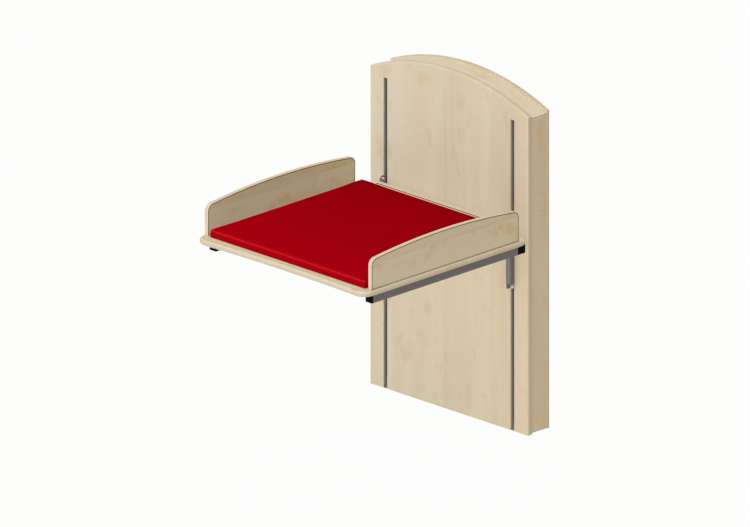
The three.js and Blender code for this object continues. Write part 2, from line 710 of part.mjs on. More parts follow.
function addCarriage(table, side, sign) {
  const carriage = new THREE.Group();
  carriage.position.x = sign * slotX;
  carriage.add(piece(`carriage_plate_${side}`, carriagePlate(), greySteel));
  carriage.add(piece(`carriage_post_${side}`, carriagePost(), greySteel));
  carriage.add(piece(`glide_block_upper_${side}`, glideBlock(), whitePlastic, 0, 0, upperGlideBottom));
  carriage.add(piece(`glide_block_lower_${side}`, glideBlock(), whitePlastic, 0, 0, lowerGlideBottom));
  const hookBolt = domedBolt(PLATE_THICKNESS + 2 * SEAT);
  const boltHeight = hookTop - HOOK_BOLT_DROP;
  carriage.add(piece(`hook_bolt_${side}`, hookBolt, chrome, 0, -HOOK_BOLT_REACH, boltHeight));
  const rollerOffset = PLATE_THICKNESS / 2 + SEAT + ROLLER_WIDTH / 2;
  const axle = domedBolt(2 * (rollerOffset + ROLLER_WIDTH / 2 + SEAT));
  carriage.add(piece(`roller_axle_${side}`, axle, chrome, 0, axleY, AXLE_HEIGHT));
  for (const [place, direction] of [['outer', sign], ['inner', -sign]]) {
    const name = `guide_roller_${side}_${place}`;
    carriage.add(piece(name, guideRoller(), chrome, direction * rollerOffset, axleY, AXLE_HEIGHT));
  }
  table.add(carriage);
}

function liftBridge() {
  const half = slotX - PLATE_THICKNESS / 2 - SEAT;
  const section = tubeSection(BRIDGE_DEPTH, BRIDGE_HEIGHT, BRIDGE_WALL, BRIDGE_WALL);
  const tube = extrude('x', section, 2 * half, TUBE_CORNER_STEPS);
  tube.translate(-half, gasY, bridgeBottom + BRIDGE_HEIGHT / 2);
  return tube;
}

// Assembly
const sides = [['left', -1], ['right', 1]];

function buildHousing() {
  const housing = new THREE.Group();
  housing.add(piece('front_panel', frontPanel(), maple));
  housing.add(piece('back_panel', backPanel(), maple));
  housing.add(piece('top_panel', topPanel(), maple));
  housing.add(piece('base_board', baseBoard(), maple));
  housing.add(piece('wall_batten_upper', wallBatten(fixingHeight), maple));
  housing.add(piece('wall_batten_lower', wallBatten(LOWER_FIXING_HEIGHT), maple));
  for (const [side, sign] of sides) {
    housing.add(piece(`side_panel_${side}`, sidePanel(sign), maple));
    housing.add(piece(`guide_rail_${side}_outer`, guideRail(sign), zincSteel, sign * slotX));
    housing.add(piece(`guide_rail_${side}_inner`, guideRail(-sign), zincSteel, sign * slotX));
    housing.add(piece(`end_stop_${side}`, endStop(), blackRubber, sign * slotX));
    housing.add(piece(`gas_spring_foot_${side}`, gasFootCup(), zincSteel, sign * gasX, gasY, gasFoot));
    const cylinder = gasCylinder();
    housing.add(piece(`gas_spring_cylinder_${side}`, cylinder, blackEnamel, sign * gasX, gasY, gasBottom));
  }
  return housing;
}

function buildTable() {
  const table = new THREE.Group();
  table.add(piece('table_board', tableBoard(), maple));
  table.add(piece('rear_strip', rearStrip(), maple, 0, stripRear, onBoard));
  table.add(piece('rear_cross_tube', rearCrossTube(), greySteel));
  table.add(piece('lift_bridge', liftBridge(), zincSteel));
  for (const [side, sign] of sides) {
    const face = sign < 0 ? -guardOuter : guardInner;
    table.add(piece(`guard_${side}`, guard(), maple, face, guardRear - GUARD_LENGTH / 2, onBoard));
    addArm(table, side, sign);
    addCarriage(table, side, sign);
    const rodBottom = pistonTop - PISTON_LENGTH;
    table.add(piece(`gas_spring_rod_${side}`, gasRod(), chrome, sign * gasX, gasY, rodBottom));
  }
  table.add(piece('changing_mat', changingMat(), redCover, 0, matRear - MAT_DEPTH / 2, onBoard));
  return table;
}

const station = new THREE.Group();
station.add(buildHousing(), buildTable());
station.position.set(0, -HOUSING_DEPTH, -fixingHeight);

export default station;
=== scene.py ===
# %% [markdown]
# # A wall-hung changing table, dressed for a picture
#
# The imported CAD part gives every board, tube and bolt its place. This lesson adds what a packed
# part lacks: finely rounded boards, a sprung mat, bright bolts, and finishes made of nodes.
# All lengths are metres in the part's own frame: +X right, +Y into the wall, +Z up.

# %% Load the frame
import math

import bmesh
import bpy
import numpy as np
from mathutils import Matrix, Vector


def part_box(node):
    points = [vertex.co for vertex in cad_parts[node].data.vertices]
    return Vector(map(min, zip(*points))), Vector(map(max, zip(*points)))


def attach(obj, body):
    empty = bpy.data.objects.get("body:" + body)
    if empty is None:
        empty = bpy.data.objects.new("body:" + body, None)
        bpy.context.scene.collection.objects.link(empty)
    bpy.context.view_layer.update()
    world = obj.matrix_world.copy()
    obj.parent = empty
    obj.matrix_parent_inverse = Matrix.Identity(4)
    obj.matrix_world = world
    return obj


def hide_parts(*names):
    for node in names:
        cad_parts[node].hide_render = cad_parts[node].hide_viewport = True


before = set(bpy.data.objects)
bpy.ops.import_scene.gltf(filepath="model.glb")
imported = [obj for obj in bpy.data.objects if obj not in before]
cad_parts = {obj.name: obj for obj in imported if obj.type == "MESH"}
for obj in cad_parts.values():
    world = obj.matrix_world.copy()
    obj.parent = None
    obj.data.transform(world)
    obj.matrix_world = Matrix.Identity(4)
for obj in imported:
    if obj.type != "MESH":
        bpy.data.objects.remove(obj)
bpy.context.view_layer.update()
scene = bpy.context.scene
scene.view_settings.view_transform = "Standard"
X, Y, Z = 0, 1, 2
SEAT = 0.0003  # the gap between pieces that rest on each other
SIDES = (("left", -1), ("right", 1))
quarter = math.pi / 2


def corners(node):
    """The lowest and the highest corner of a CAD piece."""
    low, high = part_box(node)
    return np.array(low), np.array(high)


# %% [markdown]
# ## The view
#
# The picture is a parallel projection: lines that are parallel on the object stay parallel in it.
# A perspective lens from far away would nearly do that, but an orthographic camera does it
# exactly. It looks from the front right, 45 degrees round, from a height whose sine is one third.

# %% Camera
VIEW_WIDTH = 2.682  # what the picture's 750 pixels span
VIEW_TARGET = Vector((0.1057, -0.5904, -0.385))
VIEW_BACK = Vector((2 / 3, -2 / 3, 1 / 3))
VIEW_DISTANCE = 6.0

lens = bpy.data.cameras.new("picture_lens")
lens.type = "ORTHO"
lens.ortho_scale = VIEW_WIDTH
lens.clip_end = 100.0
camera = bpy.data.objects.new("picture_camera", lens)
camera.location = VIEW_TARGET + VIEW_BACK * VIEW_DISTANCE
camera.rotation_euler = (-VIEW_BACK).to_track_quat("-Z", "Y").to_euler()
scene.collection.objects.link(camera)
scene.camera = camera
print("camera spans", VIEW_WIDTH, "m")

# %% [markdown]
# ## Shader sums as Python sums
#
# A finish is a graph of nodes, and sums of nodes are hard to read as code. A small class wraps
# one output socket and overloads the operators, so that a + 2 * b adds its Math nodes by itself.
# Every other node comes from one method, which takes the node's type, its settings and its inputs.


# %% Wires between nodes
class Wire:
    """One output of a node. A sum, difference or product of wires and numbers is a new wire, which
    comes out of a Math node."""

    def __init__(self, tree, socket):
        self.tree, self.socket = tree, socket

    @staticmethod
    def node(tree, kind, settings=None, inputs=None, output=0):
        """Adds one node, sets its settings, then its inputs' values or links, and gives back the
        wire of the chosen output."""
        made = tree.nodes.new("ShaderNode" + kind)
        for key, value in (settings or {}).items():
            setattr(made, key, value)
        for key, value in (inputs or {}).items():
            socket = made.inputs[key]
            if isinstance(value, Wire):
                tree.links.new(value.socket, socket)
            else:
                socket.default_value = (*value, 1) if socket.type == "RGBA" else value
        return Wire(tree, made.outputs[output])

    def math(self, operation, first, second):
        return Wire.node(self.tree, "Math", {"operation": operation}, {0: first, 1: second})

    def __add__(self, other):
        return self.math("ADD", self, other)

    def __radd__(self, other):
        return self.math("ADD", other, self)

    def __sub__(self, other):
        return self.math("SUBTRACT", self, other)

    def __rsub__(self, other):
        return self.math("SUBTRACT", other, self)

    def __mul__(self, other):
        return self.math("MULTIPLY", self, other)

    def __rmul__(self, other):
        return self.math("MULTIPLY", other, self)


def new_finish(name):
    """A material with one Principled shader: gives the material, its node tree and the shader."""
    material = bpy.data.materials.new(name)
    material.use_nodes = True
    tree = material.node_tree
    return material, tree, tree.nodes["Principled BSDF"]


def place(tree):
    """The point on the piece, as three wires along X, Y and Z."""
    point = Wire.node(tree, "TexCoord", None, None, "Object")
    return [Wire.node(tree, "SeparateXYZ", None, {0: point}, axis) for axis in "XYZ"]


def vector(tree, x, y, z):
    return Wire.node(tree, "CombineXYZ", None, {0: x, 1: y, 2: z})


def noise(tree, point, scale, detail=2.0, rough=0.5):
    return Wire.node(tree, "TexNoise", None,
                     {"Vector": point, "Scale": scale, "Detail": detail, "Roughness": rough}, "Fac")


def ease(tree, value, low, high):
    """Runs smoothly from 0 where the value is low to 1 where it is high."""
    return Wire.node(tree, "MapRange", {"interpolation_type": "SMOOTHSTEP"},
                     {"Value": value, "From Min": low, "From Max": high})


def mix(tree, share, first, second):
    """A colour between two colours. Sockets 6 and 7 are the Mix node's colour inputs."""
    return Wire.node(tree, "Mix", {"data_type": "RGBA"}, {0: share, 6: first, 7: second}, 2)


def feed(tree, shader, **inputs):
    """Links or sets the shader's inputs: Base_Color stands for Base Color."""
    for key, value in inputs.items():
        socket = shader.inputs[key.replace("_", " ")]
        if isinstance(value, Wire):
            tree.links.new(value.socket, socket)
        else:
            socket.default_value = value


def relief(tree, height, depth):
    return Wire.node(tree, "Bump", None, {"Height": height, "Distance": depth, "Strength": 1.0})


print("wires ready")

# %% [markdown]
# ## Maple
#
# The boards carry a pale maple face. Its figure is made of staves: strips a hand wide with hard
# borders, each with its own tone. Inside a stave there are fine fibres along the grain, in some
# staves a ripple across it, and here and there a warm stain that ends at the stave's border. A
# wave texture alone would give one regular figure, so the staves come from a one-dimensional
# Voronoi texture across the grain, and every other texture is shifted by the stave's own number.
# The joints of the edge bands are darker, and painted shade darkens the rounded edges. An
# attribute of the mesh, named seam, tells the finish where both are.

# %% Maple finish
MAPLE_PALE = (0.702, 0.606, 0.452)
MAPLE_DEEP = (0.640, 0.515, 0.345)
MAPLE_STAIN = (0.640, 0.470, 0.272)
# The colour of the dark joints, and of the painted shade on the rounded edges
MAPLE_SEAM_AND_SHADE = (0.150, 0.100, 0.045)
STAVE_WIDTH, STAVE_SHIFT = 0.115, 7
RIPPLE_LENGTH, RIPPLE_SLANT, RIPPLE_BEND = 0.015, 0.35, 22
# How often a texture changes per metre: across the grain, through the board and along the grain
CLOUD, FIBRE, STREAK = (14, 3, 2), (330, 330, 4), (85, 40, 1)
BEND, BLOT = (22, 8, 12), (14, 8, 9)
# Between which values a stave starts to curl, a cloud shows its curl, and a blot becomes a stain
CURL_STAVES, CURL_CLOUDS, STAIN_BLOTS = (0.35, 0.7), (0.42, 0.6), (0.53, 0.70)
STAIN_SHARE, MAPLE_GLOSS, FIBRE_DEPTH = 0.5, 0.2, 0.0001


def maple(name, grain, across, start=0.0, ripple=0.22, contrast=1.0):
    """Maple whose fibres run along one axis and whose staves lie side by side along another. ripple
    is the share of the curl, and contrast makes clouds, streaks, fibres and stains stronger."""
    material, tree, shader = new_finish(name)
    axes = place(tree)
    depth = 3 - grain - across
    run, side, deep = axes[grain], axes[across] + start, axes[depth]

    stave = Wire.node(tree, "TexVoronoi", {"voronoi_dimensions": "1D"},
                      {"W": side, "Scale": 1 / STAVE_WIDTH, "Randomness": 0.7}, "Color")
    tone, curly = [Wire.node(tree, "SeparateColor", None, {0: stave}, k) for k in range(2)]
    shifted = run + STAVE_SHIFT * tone

    def figure(rates, detail, rough=0.5):
        """Noise with its own rate across the grain, through the board and along the grain."""
        point = [rate * axis for rate, axis in zip(rates, (side, deep, shifted))]
        return noise(tree, vector(tree, *point), 1.0, detail, rough)

    cloud, fibre, streak = figure(CLOUD, 3.0), figure(FIBRE, 3.0, 0.6), figure(STREAK, 2.0)
    turns = (2 * math.pi / RIPPLE_LENGTH) * (run + RIPPLE_SLANT * side)
    wave = Wire.node(tree, "Math", {"operation": "SINE"}, {0: turns + RIPPLE_BEND * figure(BEND, 2.0)})
    curl = ease(tree, curly, *CURL_STAVES) * ease(tree, cloud, *CURL_CLOUDS)
    stain = ease(tree, figure(BLOT, 4.0, 0.65), *STAIN_BLOTS)

    # The numbers are each texture's share in the tone
    deeper = (0.55 * tone + ripple * curl * wave + 0.1
              + contrast * (1.2 * (cloud - 0.5) + 0.45 * (streak - 0.5) + 0.6 * (fibre - 0.5)))
    colour = mix(tree, deeper, MAPLE_PALE, MAPLE_DEEP)
    colour = mix(tree, STAIN_SHARE * contrast * stain, colour, MAPLE_STAIN)
    # The seam attribute darkens the joints and paints shade on the rounded edges
    seam = Wire.node(tree, "Attribute", {"attribute_name": "seam"}, None, "Fac")
    colour = mix(tree, seam, colour, MAPLE_SEAM_AND_SHADE)
    feed(tree, shader, Base_Color=colour, Roughness=0.44 + 0.14 * (fibre - 0.5) + 0.06 * stain,
         Normal=relief(tree, fibre + 0.3 * curl * wave, FIBRE_DEPTH), Specular_IOR_Level=MAPLE_GLOSS)
    return material


upright_maple = maple("maple_upright", Z, X)
side_maple = maple("maple_housing_side", Z, Y, start=0.36, ripple=0.4)
arch_maple = maple("maple_arch", X, Y, start=0.17)
board_maple = maple("maple_board", X, Y, start=0.53)
guard_maple = maple("maple_guard", Y, Z, start=0.77, contrast=1.8)
print("maple finishes:", 5)

# %% [markdown]
# ## Metals, plastics and rubber
#
# The arms are powder coated steel, a grey with a fine orange-peel skin, and the posts a grey drawn
# along their length, lightened by painted light that makes up for the shade round them. The rails
# are plated, the bolts and rollers are bright, the plugs are black moulded plastic. Each of these
# would look like paint from a tin as one flat colour, so each has its own small unevenness.

# %% Metal and plastic finishes
DRIFT_RATE = 9.0  # slow changes per metre


def plain_finish(name, colour, change, rough, grain, metal=0.0, specular=0.5, stretch_and_painted_highlight=(1, 1, 1)):
    """A finish with a fine even grain and a slow drift. The colour changes with both by the share
    change. rough is the middle and the change of the roughness, and grain is how often the grain
    changes per metre and how deep it is. stretch draws the grain out along an axis."""
    material, tree, shader = new_finish(name)
    axes = place(tree)
    point = vector(tree, *[factor * axis for factor, axis in zip(stretch_and_painted_highlight, axes)])
    fine = noise(tree, point, grain[0], 2.0)
    drift = noise(tree, vector(tree, *axes), DRIFT_RATE, 3.0)
    share = 0.5 * fine + 0.5 * drift
    low, high = [[c * (1 + k) for c in colour] for k in (-change, change)]
    feed(tree, shader, Base_Color=mix(tree, share, low, high),
         Roughness=rough[0] + rough[1] * (drift - 0.5) + rough[1] * (fine - 0.5),
         Normal=relief(tree, fine, grain[1]), Metallic=metal, Specular_IOR_Level=specular)
    return material


grey_steel = plain_finish("grey_powder_coat", (0.156, 0.136, 0.146), change=0.10, rough=(0.40, 0.12),
                          grain=(700, 0.0001), metal=0.15, specular=0.4)
# The posts' grey is lightened: painted light that makes up for the shade round them
post_steel_painted_light = plain_finish("post_coat_painted_light", (0.186, 0.162, 0.168), change=0.14, rough=(0.36, 0.14),
                          grain=(160, 0.00006), metal=0.15, specular=0.4, stretch_and_painted_highlight=(6, 6, 1))
zinc_steel = plain_finish("zinc_plate", (0.33, 0.30, 0.315), change=0.10, rough=(0.45, 0.16),
                          grain=(60, 0.00004), metal=0.1, stretch_and_painted_highlight=(12, 12, 1))
bright_steel = plain_finish("bright_plate", (0.46, 0.45, 0.46), change=0.06, rough=(0.16, 0.08),
                            grain=(300, 0.00001), metal=0.95)
roller_steel = plain_finish("roller_plate", (0.44, 0.42, 0.43), change=0.10, rough=(0.26, 0.08),
                            grain=(300, 0.00001), metal=0.45)
black_plastic = plain_finish("black_moulding", (0.0032, 0.003, 0.003), change=0.25, rough=(0.5, 0.12),
                             grain=(900, 0.00008), specular=0.02)
white_plastic = plain_finish("slide_plastic", (0.68, 0.67, 0.62), change=0.05, rough=(0.5, 0.1),
                             grain=(500, 0.00004))
black_enamel = plain_finish("black_enamel", (0.011, 0.011, 0.012), change=0.2, rough=(0.28, 0.08),
                            grain=(400, 0.00003))
black_rubber = plain_finish("black_rubber", (0.013, 0.012, 0.012), change=0.3, rough=(0.8, 0.1),
                            grain=(600, 0.0001), specular=0.2)
print("plain finishes:", 9)

# %% [markdown]
# ## The red cover
#
# The mat is foam in a red coated fabric, wiped clean after use. The coating carries a fine
# leather-like grain: small cells with soft borders, about a millimetre across. The colour is deep
# and even and a little darker between the cells. Painted shade darkens it towards the housing,
# and a painted highlight lightens the rounded top edge.

# %% Red cover finish
COVER_RED = (0.415, 0.0003, 0.0058)
COVER_DARK = (0.33, 0.0002, 0.0044)
# A painted highlight along the rounded top edge
COVER_PAINTED_HIGHLIGHT = (0.50, 0.012, 0.014)
# Painted shade, which darkens the cover towards the housing
COVER_PAINTED_SHADE, PAINTED_SHADE_SHARE = (0.0, 0.0, 0.0), 0.3
PAINTED_SHADE_RANGE = (-0.95, -0.1)  # from the front, where there is none, to the housing
CELL_SIZE, CELL_BORDER = 0.0014, 0.28
THREAD = (6, 380, 380)  # changes per metre along X, Y and Z
COVER_DEPTH = 0.0001


def cover_finish():
    """Cells of a Voronoi texture, softened at their borders, over a slow change of tone. A painted
    highlight lightens the cover along its rounded top edge, where an attribute of the mesh tells,
    and painted shade darkens it towards the housing."""
    material, tree, shader = new_finish("red_cover")
    axes = place(tree)
    point = vector(tree, *axes)
    cell = Wire.node(tree, "TexVoronoi", {"feature": "DISTANCE_TO_EDGE"},
                     {"Vector": point, "Scale": 1 / CELL_SIZE, "Randomness": 0.9}, "Distance")
    pad = ease(tree, cell, 0.0, CELL_BORDER)
    drift = noise(tree, point, 5.0, 3.0)
    thread = noise(tree, vector(tree, *[rate * axis for rate, axis in zip(THREAD, axes)]), 1.0, 2.0)
    share = 0.45 * pad + 0.35 * drift + 0.25 * thread
    # A painted highlight along the rounded top edge, which an attribute of the mesh tells
    stretch_and_painted_highlight = Wire.node(tree, "Attribute", {"attribute_name": "stretch_and_painted_highlight"}, None, "Fac")
    # Painted shade towards the housing
    shade = ease(tree, axes[Y], *PAINTED_SHADE_RANGE)
    tone = mix(tree, share, COVER_DARK, COVER_RED)
    tone = mix(tree, PAINTED_SHADE_SHARE * shade, tone, COVER_PAINTED_SHADE)
    colour = mix(tree, stretch_and_painted_highlight, tone, COVER_PAINTED_HIGHLIGHT)
    feed(tree, shader, Base_Color=colour, Roughness=0.42 - 0.08 * pad + 0.1 * (drift - 0.5),
         Normal=relief(tree, pad + 0.3 * thread, COVER_DEPTH), Specular_IOR_Level=0.0)
    return material


red_cover = cover_finish()
print("cover cells of", CELL_SIZE, "m")

# %% [markdown]
# ## Surfaces from arrays
#
# A rounded board is a profile carried along a path: the path is the board's outline, the profile
# is its rounded edge. Every point of every ring is worked out at once with numpy. The two faces
# of the board close the rings. Edges stay crisp where two faces meet at more than a set angle. The
# rings also carry the seam attribute, which the maple reads.

# %% Mesh helpers
CRISP_ANGLE = math.radians(32)
ROUND_STEPS = 8
SEAM_REACH, SEAM_FADE = 0.0022, 0.0003  # how wide the joint of an edge band is, and its border


def put(name, points, faces, body, material, stands_for=(), flat_edges=None):
    """Makes a piece from points (n, 3) and lists of corner numbers, and turns its faces outwards.
    flat_edges marks the rim of a flat face by a test on the two ends' numbers."""
    mesh = bpy.data.meshes.new(name)
    mesh.from_pydata(np.asarray(points, float).reshape(-1, 3).tolist(), [], faces)
    work = bmesh.new()
    work.from_mesh(mesh)
    bmesh.ops.recalc_face_normals(work, faces=work.faces)
    work.to_mesh(mesh)
    work.free()
    mesh.polygons.foreach_set("use_smooth", np.ones(len(mesh.polygons), bool))
    mesh.set_sharp_from_angle(angle=CRISP_ANGLE)
    if flat_edges is not None:
        ends = np.empty(2 * len(mesh.edges), np.int32)
        mesh.edges.foreach_get("vertices", ends)
        ends = ends.reshape(-1, 2)
        sharp = mesh.attributes.get("sharp_edge")
        sharp = sharp or mesh.attributes.new("sharp_edge", "BOOLEAN", "EDGE")
        marked = np.empty(len(mesh.edges), bool)
        sharp.data.foreach_get("value", marked)
        sharp.data.foreach_set("value", marked | flat_edges(ends[:, 0], ends[:, 1]))
    mesh.materials.append(material)
    piece = bpy.data.objects.new(name, mesh)
    scene.collection.objects.link(piece)
    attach(piece, body)
    if stands_for:
        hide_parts(*stands_for)
    return piece


def ring_faces(rows, count, closed_rows=False):
    """Four corners for each cell of rows of points that run round in closed rings."""
    step = np.arange(count)
    row = np.arange(rows if closed_rows else rows - 1)[:, None]
    low, high = row * count, ((row + 1) % rows) * count
    following = (step + 1) % count
    cells = np.stack([low + step, low + following, high + following, high + step], -1)
    return cells.reshape(-1, 4).tolist()


def capped(rows, count):
    """Cells between rings, with one flat face over the first ring and one over the last."""
    last = (rows - 1) * count
    return ring_faces(rows, count) + [list(range(count)), list(range(last, last + count))]


def mitres(outline):
    """At each point of a closed outline, the outward vector that moves both of its sides out by
    one: the sum of the two sides' normals over one plus their product."""
    side = np.roll(outline, -1, 0) - outline
    side = side / np.linalg.norm(side, axis=1, keepdims=True)
    normal = np.stack([side[:, 1], -side[:, 0]], -1)
    before = np.roll(normal, 1, 0)
    return (before + normal) / (1 + (before * normal).sum(1, keepdims=True))


def arc(centre, radius, start, end, steps):
    """Points on a circle, from one angle to another."""
    angle = np.linspace(start, end, steps + 1)
    return np.stack([centre[0] + radius * np.cos(angle), centre[1] + radius * np.sin(angle)], -1)


def rectangle(low, high, radius, steps=6):
    """A rectangle with round corners, anticlockwise."""
    (a, b), (c, d) = np.array(low) + radius, np.array(high) - radius
    spots = (((c, b), -1), ((c, d), 0), ((a, d), 1), ((a, b), 2))
    return np.concatenate([arc(spot, radius, k * quarter, (k + 1) * quarter, steps)
                           for spot, k in spots])


def rounded_board(name, outline, radii, low, high, axes, body, material, stands_for=(),
                  low_radii=None, seam=0.0, edge_shade=0.0, joint=0.0):
    """A quarter circle at each face, carried along an outline that runs anticlockwise.
    At an angle t the ring lies inside the outline by radius times 1 - cos t, and above the middle
    of the rounding by radius times sin t. axes names the outline's two axes and the thickness.
    The low face has its own radii if they are given. The joint of the edge band shows beside the
    rounding, as strong as seam says. Painted shade darkens the edge by its share times cos t. Round
    the edge itself, joint says how strong a line is at each point of the outline."""
    turn = np.linspace(0, quarter, ROUND_STEPS + 1)
    top = np.broadcast_to(radii, len(outline))
    base = top if low_radii is None else np.broadcast_to(low_radii, len(outline))
    lean, rise = (1 - np.cos(turn))[:, None], (1 - np.sin(turn))[:, None]
    inset = np.concatenate([lean[::-1] * base, lean * top])
    level = np.concatenate([low + rise[::-1] * base, high - rise * top])
    # Painted shade on the rounded edge, strongest where it faces sideways
    strength = edge_shade * np.cos(np.concatenate([turn[::-1], turn]))[:, None] * np.ones(len(outline))
    strength = np.maximum(strength, joint)
    rim = 0
    if np.any(seam):
        rim, beyond = 2, np.array([SEAM_REACH, SEAM_REACH + SEAM_FADE])[:, None]
        inset = np.concatenate([beyond[::-1] + base, inset, beyond + top])
        level, strength = (np.pad(row, ((rim, rim), (0, 0)), "edge") for row in (level, strength))
        limit = np.repeat([base, top], len(inset) // 2, axis=0)
        strength = np.maximum(strength, np.where(inset >= limit - SEAM_REACH / 2, seam, 0.0))
        strength[[0, -1]] = 0.0
    flat = outline[None] - inset[..., None] * mitres(outline)[None]
    points = np.empty((len(inset), len(outline), 3))
    points[..., axes[0]], points[..., axes[1]] = flat[..., 0], flat[..., 1]
    points[..., axes[2]] = level
    count, rows = len(outline), len(inset)
    piece = put(name, points, capped(rows, count), body, material, stands_for,
                lambda a, b: (a // count == b // count) & np.isin(a // count, (rim, rows - 1 - rim)))
    piece.data.attributes.new("seam", "FLOAT", "POINT").data.foreach_set("value", strength.ravel())
    return piece


def tube(name, low, high, axis, radius, wall, body, material, stands_for=()):
    """A square tube: an outer ring at each end and an inner ring at each end, joined in a closed
    round of four rows. The inner corners' radius is the outer one less the wall."""
    first, second = [k for k in (X, Y, Z) if k != axis]
    pick = [first, second]
    outer = rectangle(low[pick], high[pick], radius)
    inner = rectangle(low[pick] + wall, high[pick] - wall, max(radius - wall, wall / 4))
    points = np.empty((4, len(outer), 3))
    for row, (section, end) in enumerate(((outer, low), (outer, high), (inner, high), (inner, low))):
        points[row][:, pick] = section
        points[row][:, axis] = end[axis]
    return put(name, points, ring_faces(4, len(outer), True), body, material, stands_for)


def turned(name, profile, centre, axis, body, material, stands_for=(), steps=40):
    """A turned piece: each profile point (radius, distance) makes one ring round the axis, and the
    two ends are closed flat."""
    radius, distance = np.array(profile, float).T
    angle = np.linspace(0, 2 * math.pi, steps, endpoint=False)
    points = np.empty((len(radius), steps, 3))
    first, second = [k for k in (X, Y, Z) if k != axis]
    points[..., axis] = distance[:, None]
    points[..., first] = radius[:, None] * np.cos(angle)
    points[..., second] = radius[:, None] * np.sin(angle)
    return put(name, points + np.array(centre), capped(len(radius), steps), body, material,
               stands_for)


print("mesh helpers ready")

# %% [markdown]
# ## Housing boards
#
# The housing's front and back panel share one arch circle. The front panel has two slots that run
# out at its foot, so its outline goes round each slot as a notch. Only its outer front edges are
# rounded. In the slots, at the foot and behind, the board is just cut. A small steel plate closes
# each slot at the foot, in front of the rails.

# %% Front and back panel
ARCH_RISE = 0.0835
SLOT_HALF = 0.009
FRONT_ROUND, BACK_ROUND, CUT_ROUND = 0.007, 0.001, 0.0005
# The first two are painted shade on the panels' rounded edges, the last two the strength of dark joints
EDGE_SHADE, BACK_EDGE_SHADE, BACK_SEAM, TOP_JOINT = 0.16, 0.14, 0.2, 0.6
FOOT_PLATE_FRONT, FOOT_PLATE_BACK, FOOT_PLATE_HEIGHT = 0.0025, 0.0055, 0.010
BACK_REACH = 0.0015  # how much wider the back panel is than its solid, on each side
PLATE_HALF = 0.004  # half the thickness of a carriage plate, which runs in the slot's middle
ARCH_STEPS = 96
RUN_IN = 0.001  # over which a rounding ends

front_low, front_high = corners("front_panel")
back_low, back_high = corners("back_panel")
HALF_WIDTH, FOOT = front_high[X], front_low[Z]
arch_radius = (HALF_WIDTH**2 + ARCH_RISE**2) / (2 * ARCH_RISE)
arch_middle = front_high[Z] - arch_radius
slot_x = corners("carriage_plate_right")[0][X] + PLATE_HALF
slot_top = corners("guide_rail_right_outer")[1][Z] + SEAT


def arched(half, radius, foot_points):
    """An outline of foot points, from left to right, and the arch over them."""
    start = math.acos(half / radius)
    over = arc((0, arch_middle), radius, start, math.pi - start, ARCH_STEPS)
    return np.concatenate([foot_points, over])


def slot_notch(middle):
    """The foot's outline at a slot, from left to right: up, across and down again."""
    left, right = middle - SLOT_HALF, middle + SLOT_HALF
    return [[left, FOOT], [left, slot_top], [right, slot_top], [right, FOOT]]


front_outline = arched(HALF_WIDTH, arch_radius, [
    [-HALF_WIDTH, FOOT + RUN_IN], [-HALF_WIDTH, FOOT], *slot_notch(-slot_x), *slot_notch(slot_x),
    [HALF_WIDTH, FOOT], [HALF_WIDTH, FOOT + RUN_IN]])
outline_x, outline_z = front_outline.T
outer_side = (np.abs(outline_x) > slot_x + 2 * SLOT_HALF) | (outline_z > slot_top + RUN_IN)
outer_side &= outline_z > FOOT + RUN_IN / 2
front_radii = np.where(outer_side, FRONT_ROUND, CUT_ROUND)
rounded_board("housing_front", front_outline, CUT_ROUND, front_low[Y], front_high[Y], (X, Z, Y),
              "housing", upright_maple, ["front_panel"], front_radii, edge_shade=EDGE_SHADE)
back_half = back_high[X] + BACK_REACH
back_outline = arched(back_half, arch_radius, [[-back_half, back_low[Z]], [back_half, back_low[Z]]])
rounded_board("housing_back", back_outline, BACK_ROUND, back_low[Y], back_high[Y], (X, Z, Y),
              "housing", upright_maple, ["back_panel"], edge_shade=BACK_EDGE_SHADE, seam=BACK_SEAM)
for side, sign in SIDES:
    foot_low, foot_high = [sign * slot_x + k * (SLOT_HALF - SEAT) for k in (-1, 1)]
    foot_outline = rectangle((foot_low, FOOT), (foot_high, FOOT + FOOT_PLATE_HEIGHT), CUT_ROUND)
    rounded_board(f"slot_foot_{side}", foot_outline, CUT_ROUND, front_low[Y] + FOOT_PLATE_FRONT,
                  front_low[Y] + FOOT_PLATE_BACK, (X, Z, Y), "housing", grey_steel)
print("panels with", len(front_outline), "and", len(back_outline), "outline points")

# %% [markdown]
# The top panel is a bent board under the arch. Its upper and its lower face are two arcs round the
# arch's own middle, and a dark joint shows at its ends. The side panels are plain boards under it.

# %% Top and side panels
TOP_INSET, TOP_THICKNESS = 0.0118, 0.012
SIDE_REACH = 0.003  # how far the outer faces stand outside the solids

top_low, top_high = corners("top_panel")
top_half = top_high[X] + SIDE_REACH
upper, under = arch_radius - TOP_INSET, arch_radius - TOP_INSET - TOP_THICKNESS
upper_start, under_start = math.acos(top_half / upper), math.acos(top_half / under)
corner = arc((0, arch_middle), upper, upper_start, upper_start + RUN_IN / upper, 1)
corner = np.concatenate([corner[0] - [[0, SEAM_REACH + SEAM_FADE], [0, SEAM_REACH]], corner])
over = arc((0, arch_middle), upper, upper_start, math.pi - upper_start, ARCH_STEPS)[1:-1]
below = arc((0, arch_middle), under, math.pi - under_start, under_start, ARCH_STEPS)
top_outline = np.concatenate([corner, over, corner[::-1] * [-1, 1], below])
joint = np.zeros(len(top_outline))
joint[[1, 2, len(corner) + len(over) + 1, len(corner) + len(over) + 2]] = TOP_JOINT
rounded_board("housing_top", top_outline, CUT_ROUND, top_low[Y], top_high[Y], (X, Z, Y),
              "housing", arch_maple, ["top_panel"], joint=joint)
side_top = arch_middle + math.sqrt(under**2 - top_half**2) - SEAT
